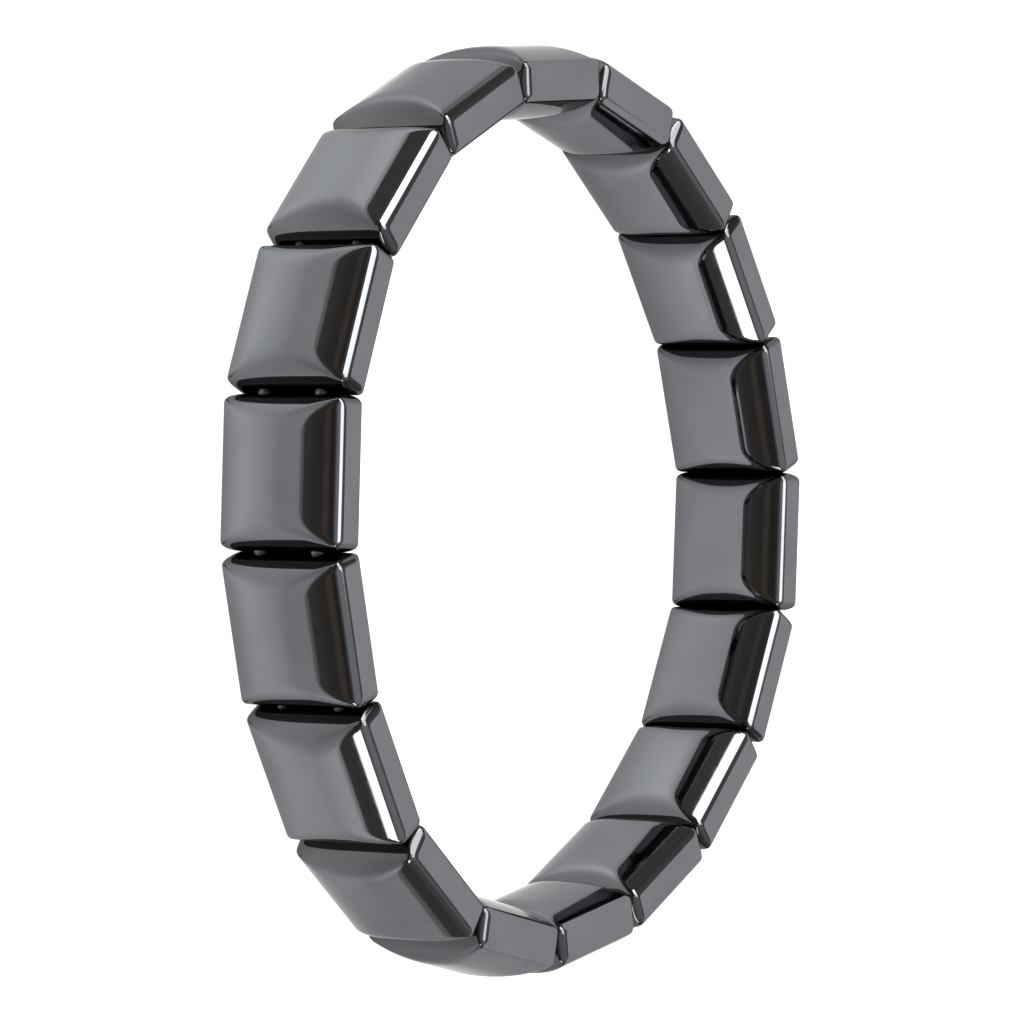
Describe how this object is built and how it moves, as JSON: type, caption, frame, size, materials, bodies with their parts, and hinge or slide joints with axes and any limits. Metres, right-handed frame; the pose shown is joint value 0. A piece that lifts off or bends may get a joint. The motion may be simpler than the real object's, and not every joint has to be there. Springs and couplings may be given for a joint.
{
  "type": "hematite bead bracelet",
  "caption": "Stretch bracelet of polished hematite pillow beads, each drilled twice side by side and strung flat on a pair of clear elastic threads.",
  "frame": {"origin": "on the surface that the bracelet lies on, under the middle of the ring's box", "axes": "+Z along the ring's axis, up from the surface; -Y towards the viewer of the picture, and -X at the picture's top"},
  "size_m": [0.0624, 0.0618, 0.0091],
  "materials": {
    "hematite": "mirror-polished dark grey hematite with a metallic lustre",
    "elastic": "clear stretch cord"
  },
  "bodies": {
    "root": {"bead_01": "hematite", "bead_02": "hematite", "bead_03": "hematite", "bead_04": "hematite", "bead_05": "hematite", "bead_06": "hematite", "bead_07": "hematite", "bead_08": "hematite", "bead_09": "hematite", "bead_10": "hematite", "bead_11": "hematite", "bead_12": "hematite", "bead_13": "hematite", "bead_14": "hematite", "bead_15": "hematite", "bead_16": "hematite", "bead_17": "hematite", "bead_18": "hematite", "elastic_upper": "elastic", "elastic_lower": "elastic"}
  },
  "joints": []
}
